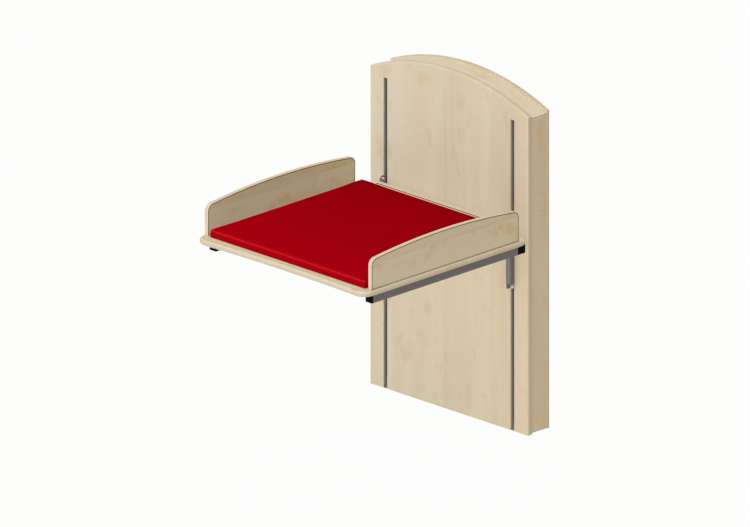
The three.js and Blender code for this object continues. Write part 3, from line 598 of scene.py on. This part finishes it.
for side, sign in SIDES:
    low, high = corners(f"side_panel_{side}")
    (high if sign > 0 else low)[X] = sign * top_half
    high[Z] = side_top
    rounded_board(f"housing_side_{side}", rectangle(low[[Y, Z]], high[[Y, Z]], CUT_ROUND), CUT_ROUND,
                  low[X], high[X], (Y, Z, X), "housing", side_maple, [f"side_panel_{side}"])
print("top panel spans", round(2 * top_half, 4), "m")

# %% [markdown]
# ## Table boards
#
# The table board has round corners and a front edge with one shallow hollow. The guards have an
# arched top that runs into round corners, and they stand on the board on a square foot. The low
# strip at the back keeps the mat from sliding off.

# %% Table board, guards and rear strip
BOARD_ROUND = 0.0105
FRONT_CORNER, REAR_CORNER, HOLLOW = 0.048, 0.040, 0.011
GUARD_HEIGHT, GUARD_END_HEIGHT, GUARD_CORNER, GUARD_ROUND = 0.139, 0.115, 0.028, 0.003
STRIP_CORNER, STRIP_ROUND = 0.010, 0.003
# The joint of the front edge band, and painted shade on the board's rounded edges
BOARD_SEAM, BOARD_EDGE_SHADE = 0.45, 0.10
STRIP_RISE, GUARD_REACH = 0.008, 0.005  # how much they are larger than the solids
CORNER_STEPS, HOLLOW_STEPS, GUARD_STEPS = 14, 48, 64

board_low, board_high = corners("table_board")
board_half, board_front, board_rear = board_high[X], board_low[Y], board_high[Y]
on_board = board_high[Z] + SEAT
hollow_half = board_half - FRONT_CORNER
hollow_radius = (hollow_half**2 + HOLLOW**2) / (2 * HOLLOW)
hollow_middle = board_front + HOLLOW - hollow_radius
hollow_start = math.atan2(board_front - hollow_middle, hollow_half)
rear_half = board_half - REAR_CORNER
board_outline = np.concatenate([
    arc((hollow_half, board_front + FRONT_CORNER), FRONT_CORNER, -quarter, 0, CORNER_STEPS),
    arc((rear_half, board_rear - REAR_CORNER), REAR_CORNER, 0, quarter, CORNER_STEPS),
    arc((-rear_half, board_rear - REAR_CORNER), REAR_CORNER, quarter, 2 * quarter, CORNER_STEPS),
    arc((-hollow_half, board_front + FRONT_CORNER), FRONT_CORNER, 2 * quarter, 3 * quarter, CORNER_STEPS),
    arc((0, hollow_middle), hollow_radius, math.pi - hollow_start, hollow_start, HOLLOW_STEPS)[1:-1],
])
rounded_board("table_top", board_outline, BOARD_ROUND, board_low[Z], board_high[Z], (X, Y, Z),
              "table", board_maple, ["table_board"], edge_shade=BOARD_EDGE_SHADE,
              seam=np.where(board_outline[:, 1] < board_front + FRONT_CORNER, BOARD_SEAM, 0.0))


def upstand(start, end, end_height, height, corner, steps):
    """A board that stands on its edge: square foot, round top corners, and between them an arch
    or, where both heights are the same, a straight top. Gives the outline and its free points."""
    foot, middle, half = on_board, (start + end) / 2, (end - start) / 2
    if height > end_height:
        rise = height - end_height
        radius = (half**2 + rise**2) / (2 * rise)
        centre = foot + height - radius
        level = centre + math.sqrt((radius - corner) ** 2 - (half - corner) ** 2)
        meet = math.atan2(level - centre, half - corner)
        top = arc((middle, centre), radius, meet, math.pi - meet, steps)[1:-1]
    else:
        level, meet, top = foot + height - corner, quarter, np.empty((0, 2))
    outline = np.concatenate([
        [[start, foot], [start + RUN_IN, foot], [end - RUN_IN, foot], [end, foot], [end, foot + RUN_IN]],
        arc((end - corner, level), corner, 0, meet, CORNER_STEPS),
        top,
        arc((start + corner, level), corner, math.pi - meet, math.pi, CORNER_STEPS),
        [[start, foot + RUN_IN]],
    ])
    return outline, outline[:, 1] > foot + RUN_IN / 2


for side, _ in SIDES:
    low, high = corners(f"guard_{side}")
    outline, free = upstand(low[Y], high[Y] + GUARD_REACH, GUARD_END_HEIGHT, GUARD_HEIGHT, GUARD_CORNER,
                            GUARD_STEPS)
    rounded_board(f"guard_board_{side}", outline, np.where(free, GUARD_ROUND, CUT_ROUND), low[X], high[X],
                  (Y, Z, X), "table", guard_maple, [f"guard_{side}"], seam=free * 1.0)
strip_low, strip_high = corners("rear_strip")
strip_height = strip_high[Z] - strip_low[Z] + STRIP_RISE
outline, free = upstand(strip_low[X], strip_high[X], strip_height, strip_height, STRIP_CORNER, 0)
rounded_board("mat_strip", outline, np.where(free, STRIP_ROUND, CUT_ROUND), strip_low[Y], strip_high[Y],
              (X, Z, Y), "table", board_maple, ["rear_strip"], seam=free * 1.0)
print("table board, two guards and the strip made")

# %% [markdown]
# ## The mat
#
# The mat is firm foam in a tight cover, crowned a little, with sides that draw in between its
# corners. A rounded block alone would look hard, but a cover under a little pressure gets its
# tension for free. So a grid block goes through Blender's cloth, the movement is capped, and the
# underside stays flat on the board.

# %% Mat block
MAT_EDGE, MAT_FOOT_EDGE = 0.005, 0.001
MAT_CELL, MAT_SIDE_ROWS = 0.0085, 4
EDGE_PAINTED_HIGHLIGHT = (0.3, 1.0, 0.3)  # how strong the painted highlight is in the rings of the top edge
MAT_CROWN = 0.001  # room for the cloth above the block
DRAWN_IN = 0.001  # of each side, at its middle
MAT_RISE, MAT_FORWARD = 0.003, 0.0075  # how much taller and deeper it is than its solid
CLOTH_CAP = 0.005
CLOTH_FRAMES, CLOTH_PRESSURE, CLOTH_QUALITY = 20, 0.6, 5


def block_surface(low, high, edge, foot, cell):
    """A block with rounded edges. Top and bottom are grids, inset by the edge's radius. Rings
    round their rim go out by radius times sin t and down by radius times 1 - cos t, then straight
    down the side, and back in round the smaller foot radius. Gives the points, the faces and how
    strong the painted highlight is at each point."""
    lines = [np.linspace(a + edge, b - edge, round((b - a) / cell) + 1) for a, b in zip(low[:2], high[:2])]
    nx, ny = map(len, lines)
    gx, gy = np.meshgrid(*lines, indexing="ij")
    number = np.arange(nx * ny).reshape(nx, ny)
    rim = np.concatenate([number[:-1, 0], number[-1, :-1], number[:0:-1, -1], number[0, :0:-1]])
    flat = np.stack([gx.ravel(), gy.ravel()], -1)
    ends = np.array([[line[0], line[-1]] for line in lines])
    outward = (flat[rim] >= ends[:, 1]) * 1.0 - (flat[rim] <= ends[:, 0])
    turn = np.array([1, 2, 3]) * quarter / 3
    side = np.linspace(high[2] - edge, low[2] + foot, MAT_SIDE_ROWS)[1:-1]
    out = np.concatenate([edge * np.sin(turn), np.full(len(side), edge),
                          edge - foot + foot * np.sin(turn[::-1])])
    up = np.concatenate([high[2] - edge * (1 - np.cos(turn)), side,
                         low[2] + foot * (1 - np.cos(turn[::-1]))])
    rings = np.empty((len(out), len(rim), 3))
    rings[..., :2] = flat[rim] + out[:, None, None] * outward
    rings[..., 2] = up[:, None]
    top = np.column_stack([flat, np.full(len(flat), high[2])])
    bottom = np.column_stack([flat, np.full(len(flat), low[2])])
    points = np.concatenate([top, bottom, rings.reshape(-1, 3)])
    cells = np.stack([number[:-1, :-1], number[1:, :-1], number[1:, 1:], number[:-1, 1:]], -1)
    cells = cells.reshape(-1, 4)
    ring_numbers = 2 * len(flat) + np.arange(len(out) * len(rim)).reshape(-1, len(rim))
    loops = np.concatenate([rim[None], ring_numbers, rim[None] + len(flat)])
    ahead = np.roll(loops, -1, 1)
    strips = np.stack([loops[:-1], loops[1:], ahead[1:], ahead[:-1]], -1).reshape(-1, 4)
    # The painted highlight on the rings round the top edge
    painted_highlight = np.zeros(len(points))
    painted_highlight[2 * len(flat):] = np.repeat([*EDGE_PAINTED_HIGHLIGHT] + [0.0] * (len(out) - len(EDGE_PAINTED_HIGHLIGHT)), len(rim))
    return points, np.concatenate([cells, cells[:, ::-1] + len(flat), strips]).tolist(), painted_highlight


mat_low, mat_high = corners("changing_mat")
mat_low[Y] -= MAT_FORWARD
mat_high[Z] += MAT_RISE
block_high = mat_high - np.array([0, 0, MAT_CROWN])
mat_points, mat_faces, mat_painted_highlight = block_surface(mat_low, block_high, MAT_EDGE, MAT_FOOT_EDGE, MAT_CELL)
mat_middle, mat_half = (mat_low + block_high) / 2, (block_high - mat_low) / 2
spread = (mat_points - mat_middle) / mat_half
mat_points[:, X] -= DRAWN_IN * spread[:, X] * (1 - spread[:, Y] ** 2)
mat_points[:, Y] -= DRAWN_IN * spread[:, Y] * (1 - spread[:, X] ** 2)
mat = put("mat_cushion", mat_points, mat_faces, "mat", red_cover, ["changing_mat"])
# The attribute carries the painted highlight along the top edge
mat.data.attributes.new("stretch_and_painted_highlight", "FLOAT", "POINT").data.foreach_set("value", mat_painted_highlight)
mat.visible_diffuse = False  # its red stays off the boards beside it
print("mat block:", len(mat_points), "points")

# %% [markdown]
# The cloth runs for twenty frames. Then its movement is read back, softened towards the cap with
# a hyperbolic tangent so that no step shows where the cap holds, and the modifier is taken off.


# %% Mat under pressure
def blown_up(piece, points):
    """The movement of each point after the cloth has run, with the lowest points held."""
    held = piece.vertex_groups.new(name="held")
    held.add(np.flatnonzero(points[:, Z] < mat_low[Z] + MAT_EDGE / 2).tolist(), 1.0, "REPLACE")
    cloth = piece.modifiers.new("cover", "CLOTH")
    cloth.settings.vertex_group_mass = "held"
    cloth.settings.use_pressure = True
    cloth.settings.uniform_pressure_force = CLOTH_PRESSURE
    cloth.settings.effector_weights.gravity = 0.0
    cloth.settings.quality = CLOTH_QUALITY
    cloth.point_cache.frame_start, cloth.point_cache.frame_end = 1, CLOTH_FRAMES
    for step in range(1, CLOTH_FRAMES + 1):
        scene.frame_set(step)
    shown = piece.evaluated_get(bpy.context.evaluated_depsgraph_get())
    moved = np.empty(3 * len(points), np.float32)
    shown.data.vertices.foreach_get("co", moved)
    piece.modifiers.remove(cloth)
    piece.vertex_groups.remove(held)
    scene.frame_set(1)
    return moved.reshape(-1, 3) - points


movement = blown_up(mat, mat_points)
settled = mat_points + CLOTH_CAP * np.tanh(movement / CLOTH_CAP)
settled[:, Z] = np.maximum(settled[:, Z], mat_low[Z])
settled[:, Y] = np.minimum(settled[:, Y], mat_high[Y])
mat.data.vertices.foreach_set("co", settled.astype(np.float32).ravel())
mat.data.update()
smooth = mat.modifiers.new("smooth", "SUBSURF")
smooth.levels = smooth.render_levels = 1
print("mat moved by up to", np.round(np.abs(settled - mat_points).max(0) * 1000, 2), "mm")

# %% [markdown]
# ## Arms, posts and carriages
#
# The arms and posts are square tubes with round corners. Black plugs close the arms: a thin cap in
# front, a long block behind. The carriage plates are flat steel with broken edges.

# %% Tubes, plugs and plates
ARM_RADIUS, ARM_WALL = 0.004, 0.002
CAP_LENGTH, BLOCK_LENGTH = 0.0045, 0.037
PLUG_ROUND, PLUG_CUT, PLATE_ROUND = 0.0012, 0.0002, 0.0008
HOOK_CHAMFER, POST_GAP, GLIDE_WEB = 0.010, 0.002, 0.008
POST_INNER, POST_OUTER = 0.004, 0.0025  # how far a post's two sides lie outside its solid's


def post_corners(side, sign):
    """The corners of a post, which is a little narrower than its solid and further out."""
    low, high = corners(f"carriage_post_{side}")
    inner, outer = np.sort(sign * np.array([low[X], high[X]])) + [POST_INNER, POST_OUTER]
    low[X], high[X] = np.sort([sign * inner, sign * outer])
    return low, high


cross_low, cross_high = corners("rear_cross_tube")
tube("cross_bar", cross_low, cross_high, X, ARM_RADIUS, ARM_WALL, "table", grey_steel,
     ["rear_cross_tube"])
for side, sign in SIDES:
    arm_low, arm_high = corners(f"arm_{side}")
    tube(f"table_arm_{side}", arm_low, arm_high, Y, ARM_RADIUS, ARM_WALL, "table",
         grey_steel, [f"arm_{side}"])
    section = rectangle(arm_low[[X, Z]], arm_high[[X, Z]], ARM_RADIUS)
    cap_front = corners(f"arm_front_cap_{side}")[0][Y]
    rounded_board(f"front_plug_{side}", section, PLUG_CUT, cap_front, cap_front + CAP_LENGTH, (X, Z, Y),
                  "table", black_plastic, [f"arm_front_cap_{side}"], PLUG_ROUND)
    block_rear = corners(f"arm_rear_block_{side}")[1][Y]
    rounded_board(f"rear_plug_{side}", section, PLUG_ROUND, block_rear - BLOCK_LENGTH, block_rear,
                  (X, Z, Y), "table", black_plastic, [f"arm_rear_block_{side}"],
                  PLUG_CUT)
    post_low, post_high = post_corners(side, sign)
    tube(f"post_{side}", post_low, post_high, Z, ARM_RADIUS, ARM_WALL, "table", post_steel_painted_light,
         [f"carriage_post_{side}"])
    plate_low, plate_high = corners(f"carriage_plate_{side}")
    back = corners(f"glide_block_lower_{side}")[1][Y] - GLIDE_WEB - SEAT
    ear = corners("lift_bridge")[0][Z]
    seat, edge, hook = post_low[Z] - SEAT, front_low[Y] - POST_GAP + SEAT, strip_high[Y] + SEAT
    plate_outline = np.array([
        [back, plate_low[Z]], [back, ear], [plate_high[Y], ear], [plate_high[Y], plate_high[Z]],
        [hook + HOOK_CHAMFER, plate_high[Z]], [hook, plate_high[Z] - HOOK_CHAMFER], [hook, on_board],
        [edge, on_board], [edge, seat], [plate_low[Y], seat], [plate_low[Y], plate_low[Z]]])
    rounded_board(f"carriage_{side}", plate_outline, PLATE_ROUND, plate_low[X], plate_high[X], (Y, Z, X),
                  "table", grey_steel, [f"carriage_plate_{side}"])
print("arms, plugs, posts and plates made")

# %% [markdown]
# The bolts have domed heads on both sides. The rollers have a crowned rim, and their faces are
# turned down round the hub. All of them are lathe work: one profile, carried round the X axis.

# %% Bolts and rollers
HEAD_RADIUS, HEAD_HEIGHT, SHANK_RADIUS = 0.0075, 0.0055, 0.003
DOME_START, DOME_STEPS = 0.04, 12
RIM_ROUND, RIM_STEPS, RIM_FLAT = 0.0015, 6, 0.0026
FACE_STEP, FACE_SLOPE = 0.0008, 0.0006
BORE, HUB_FLAT, ROLLER_STEPS = 0.0033, 0.0012, 48

dome = np.linspace(DOME_START, 1, DOME_STEPS) * quarter
for kind in ("hook_bolt", "roller_axle"):
    for side, _ in SIDES:
        low, high = corners(f"{kind}_{side}")
        reach = (high[X] - low[X]) / 2
        head = np.stack([HEAD_RADIUS * np.sin(dome), reach - HEAD_HEIGHT * (1 - np.cos(dome))], -1)
        half_profile = np.concatenate([head, [[SHANK_RADIUS, reach - HEAD_HEIGHT]]])
        profile = np.concatenate([half_profile * [1, -1], half_profile[::-1]])
        turned(f"dome_{kind}_{side}", profile, (low + high) / 2, X, "table", bright_steel,
               [f"{kind}_{side}"])
for side, _ in SIDES:
    for spot in ("outer", "inner"):
        low, high = corners(f"guide_roller_{side}_{spot}")
        half, radius = (high[X] - low[X]) / 2, (high[Z] - low[Z]) / 2
        turn = np.linspace(0, quarter, RIM_STEPS)
        rim = np.stack([radius - RIM_ROUND * (1 - np.sin(turn)),
                        half - RIM_ROUND * (1 - np.cos(turn))], -1)
        hub, outer = BORE + HUB_FLAT, radius - RIM_FLAT
        face = [[BORE, half], [hub, half], [hub + FACE_SLOPE, half - FACE_STEP],
                [outer - FACE_SLOPE, half - FACE_STEP], [outer, half]]
        half_profile = np.concatenate([face, rim])
        ring = np.concatenate([half_profile, (half_profile * [1, -1])[::-1]])
        angle = np.linspace(0, 2 * math.pi, ROLLER_STEPS, endpoint=False)
        points = np.empty((len(ring), len(angle), 3))
        points[..., X] = ring[:, 1:]
        points[..., Y], points[..., Z] = ring[:, :1] * np.cos(angle), ring[:, :1] * np.sin(angle)
        put(f"roller_{side}_{spot}", points + (low + high) / 2, ring_faces(len(ring), len(angle), True),
            f"roller_{side}_{spot}", roller_steel, [f"guide_roller_{side}_{spot}"])
print("bolts: 4, rollers: 4")

# %% [markdown]
# ## Welds and screws
#
# Steel that carries a child is welded, and a board on steel arms is screwed. A bead of weld joins
# each post to its lug and to the cross tube. Its radius swells and sinks along it, as the welder
# moves on drop by drop. Screws with domed heads hold the board from below, through the arms.

# %% Weld beads and screws
BEAD_RADIUS, BEAD_PITCH, BEAD_SWELL = 0.0022, 0.004, 0.14
BEAD_TIP, BEAD_ROWS, BEAD_SIDES = 0.002, 8, 12  # share of the length, rows for each drop, sides
LUG_BEAD_INSET, CROSS_BEAD_INSET = 0.001, 0.003
SCREW_RADIUS, SCREW_HEIGHT, SOCKET_RADIUS, SOCKET_DEPTH = 0.006, 0.003, 0.0022, 0.0018
SCREW_RIM, SCREW_STEPS, SCREW_TIP = 0.45, 7, 0.0002
SCREW_PLACES = (0.08, 0.5, 0.92)  # along each arm


def bead(name, start, end):
    """A rope of weld: at a share s of its length L the radius is R (1 + swell cos(2 pi s L / pitch))
    times the fourth root of 1 - (2 s - 1)^8, so that both ends close round."""
    start, end = np.array(start), np.array(end)
    length = np.linalg.norm(end - start)
    share = np.linspace(BEAD_TIP, 1 - BEAD_TIP, BEAD_ROWS * round(length / BEAD_PITCH) + 1)
    swell = 1 + BEAD_SWELL * np.cos(2 * math.pi * share * length / BEAD_PITCH)
    radius = BEAD_RADIUS * swell * (1 - (2 * share - 1) ** 8) ** 0.25
    along = (end - start) / length
    across = np.roll(along, 1)
    third = np.cross(along, across)
    angle = np.linspace(0, 2 * math.pi, BEAD_SIDES, endpoint=False)
    rim = np.cos(angle)[:, None] * across + np.sin(angle)[:, None] * third
    points = start + (share * length)[:, None, None] * along + radius[:, None, None] * rim
    put(name, points, capped(len(share), len(angle)), "table", grey_steel)


for side, sign in SIDES:
    post_low, post_high = post_corners(side, sign)
    plate_low, plate_high = corners(f"carriage_plate_{side}")
    for k, x in enumerate((plate_low[X], plate_high[X])):
        bead(f"weld_lug_{side}_{k}", (x, post_low[Y] + LUG_BEAD_INSET, post_low[Z]),
             (x, post_high[Y] - LUG_BEAD_INSET, post_low[Z]))
    for k, x in enumerate((post_low[X], post_high[X])):
        bead(f"weld_cross_{side}_{k}", (x, cross_high[Y], cross_low[Z] + CROSS_BEAD_INSET),
             (x, cross_high[Y], cross_high[Z] - CROSS_BEAD_INSET))
    arm_low, arm_high = corners(f"arm_{side}")
    for k, share in enumerate(SCREW_PLACES):
        along = arm_low[Y] + share * (arm_high[Y] - arm_low[Y])
        spot = ((arm_low[X] + arm_high[X]) / 2, along, arm_low[Z])
        cover = np.linspace(SCREW_RIM, 1, SCREW_STEPS) * quarter
        head = np.stack([SCREW_RADIUS * np.sin(cover), -SCREW_HEIGHT * np.cos(cover)], -1)
        sunk = head[0, 1] + SOCKET_DEPTH
        socket = [[SCREW_TIP, sunk], [SOCKET_RADIUS, sunk], [SOCKET_RADIUS, head[0, 1]]]
        turned(f"screw_{side}_{k}", np.concatenate([socket, head, [[SCREW_TIP, 0]]]), spot, Z, "table",
               bright_steel)
print("weld beads: 8, screws:", 2 * len(SCREW_PLACES))

# %% [markdown]
# ## Finishes on the CAD pieces
#
# Pieces whose CAD shape is already right keep it. Each only gets its finish.

# %% Finishes by node
START_FINISH = {
    "base_board": arch_maple, "wall_batten": arch_maple, "lift_bridge": zinc_steel,
    "guide_rail": zinc_steel, "end_stop": black_rubber, "gas_spring_foot": zinc_steel,
    "gas_spring_cylinder": black_enamel, "gas_spring_rod": bright_steel, "glide_block": white_plastic,
}
dressed = 0
for node_name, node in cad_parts.items():
    finish = next((f for start, f in START_FINISH.items() if node_name.startswith(start)), None)
    if finish is not None:
        node.data.materials.clear()
        node.data.materials.append(finish)
        dressed += 1
print("CAD pieces dressed:", dressed)

# %% [markdown]
# ## Light and floor
#
# The picture has flat, even light: the fronts and the tops are bright, the sides a third darker
# and warmer, and nothing throws a hard shadow. Two wide lamps give most of it: one from above, and
# a cooler one from the front that throws no shadow. A dim warm sky and the warm floor fill the
# sides. The housing hangs on a wall, so the floor lies a little below its foot. It is white to the
# camera and to reflections, and keeps a faint shadow.

# %% World, lamps and floor
SKY_LEVEL = 0.27
SKY_COLOUR = (1.0, 0.955, 0.80)
WHITE_SHARE = 0.95  # how much of the floor is white by itself, the rest takes the shadow
FLOOR_SIZE, FLOOR_TONE = 30.0, (0.80, 0.75, 0.65)
FLOOR_DROP = 0.25  # the housing hangs on a wall, clear of the floor


def seen(tree):
    """1 for rays from the camera, from gloss and through glass, otherwise 0."""
    flags = [Wire.node(tree, "LightPath", None, None, name)
             for name in ("Is Camera Ray", "Is Glossy Ray", "Is Transmission Ray")]
    total = flags[0] + flags[1] + flags[2]
    return Wire.node(tree, "Math", {"operation": "MINIMUM"}, {0: total, 1: 1.0})


world = bpy.data.worlds.new("soft_sky")
world.use_nodes = True
world_tree = world.node_tree
sky = world_tree.nodes["Background"]
shown_white = seen(world_tree)
world_tree.links.new(mix(world_tree, shown_white, SKY_COLOUR, (1, 1, 1)).socket, sky.inputs["Color"])
world_tree.links.new((SKY_LEVEL + (1 - SKY_LEVEL) * shown_white).socket, sky.inputs["Strength"])
scene.world = world


def lamp(name, toward, strength, spread, colour, shadow):
    """A sun that shines toward a direction, as wide as spread says in degrees."""
    data = bpy.data.lights.new(name, "SUN")
    data.energy, data.angle, data.color = strength, math.radians(spread), colour
    data.use_shadow = shadow
    made = bpy.data.objects.new(name, data)
    made.rotation_euler = Vector(toward).to_track_quat("-Z", "Y").to_euler()
    scene.collection.objects.link(made)


lamp("lamp_above", toward=(-0.15, 0.12, -1.0), strength=2.1, spread=60, colour=(0.985, 0.99, 1.0),
     shadow=True)
lamp("lamp_front", toward=(-0.12, 1.0, -0.05), strength=1.83, spread=40, colour=(0.85, 0.91, 1.0),
     shadow=False)

floor_finish = bpy.data.materials.new("floor_white")
floor_finish.use_nodes = True
floor_tree = floor_finish.node_tree
floor_tree.nodes.clear()
matt = Wire.node(floor_tree, "BsdfDiffuse", None, {"Color": FLOOR_TONE})
glow = Wire.node(floor_tree, "Emission", None, {"Color": (1, 1, 1), "Strength": 1.0})
floor_mix = Wire.node(floor_tree, "MixShader", None,
                      {0: WHITE_SHARE * seen(floor_tree), 1: matt, 2: glow})
floor_end = floor_tree.nodes.new("ShaderNodeOutputMaterial")
floor_tree.links.new(floor_mix.socket, floor_end.inputs["Surface"])
floor_mesh = bpy.data.meshes.new("floor")
floor_corners = np.array([[-1, -1], [1, -1], [1, 1], [-1, 1]]) * FLOOR_SIZE / 2
floor_points = np.column_stack([floor_corners, np.full(4, FOOT - FLOOR_DROP)])
floor_mesh.from_pydata(floor_points.tolist(), [], [(0, 1, 2, 3)])
floor_mesh.materials.append(floor_finish)
floor = bpy.data.objects.new("floor", floor_mesh)
scene.collection.objects.link(floor)
print("sky, two lamps and a floor")
